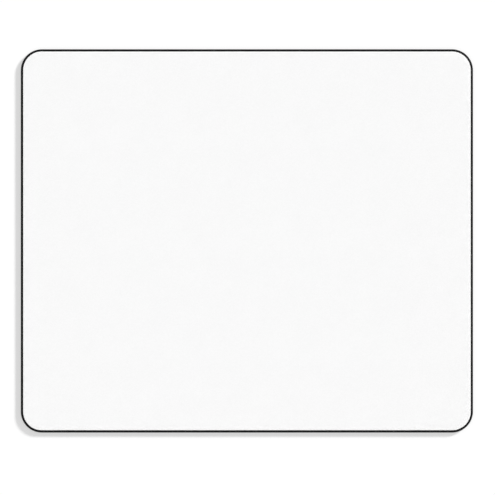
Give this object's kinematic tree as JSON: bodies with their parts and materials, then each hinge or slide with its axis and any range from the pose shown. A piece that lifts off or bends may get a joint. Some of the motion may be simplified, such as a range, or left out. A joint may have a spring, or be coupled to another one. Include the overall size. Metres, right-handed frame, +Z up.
{
  "type": "mouse pad",
  "caption": "Flat rectangular mouse pad with round corners: white knitted top cloth on a thin black foam rubber base whose edge shows as a fine rim.",
  "frame": {"origin": "on the desk, under the middle of the pad, at the level of its underside", "axes": "+X along the long side, +Y along the short side towards the far edge, +Z up out of the cloth"},
  "size_m": [0.23, 0.195, 0.003],
  "materials": {
    "grip_rubber": "matt black dense rubber with a fine moulded grip pattern",
    "foam_rubber": "matt black foam rubber with fine closed pores on its cut edge",
    "hot_melt_film": "milky hot-melt adhesive film",
    "knit_cloth": "matt white fine knitted polyester"
  },
  "bodies": {
    "root": {"grip_skin": "grip_rubber", "foam_core": "foam_rubber", "bonding_film": "hot_melt_film", "top_cloth": "knit_cloth"}
  },
  "joints": []
}
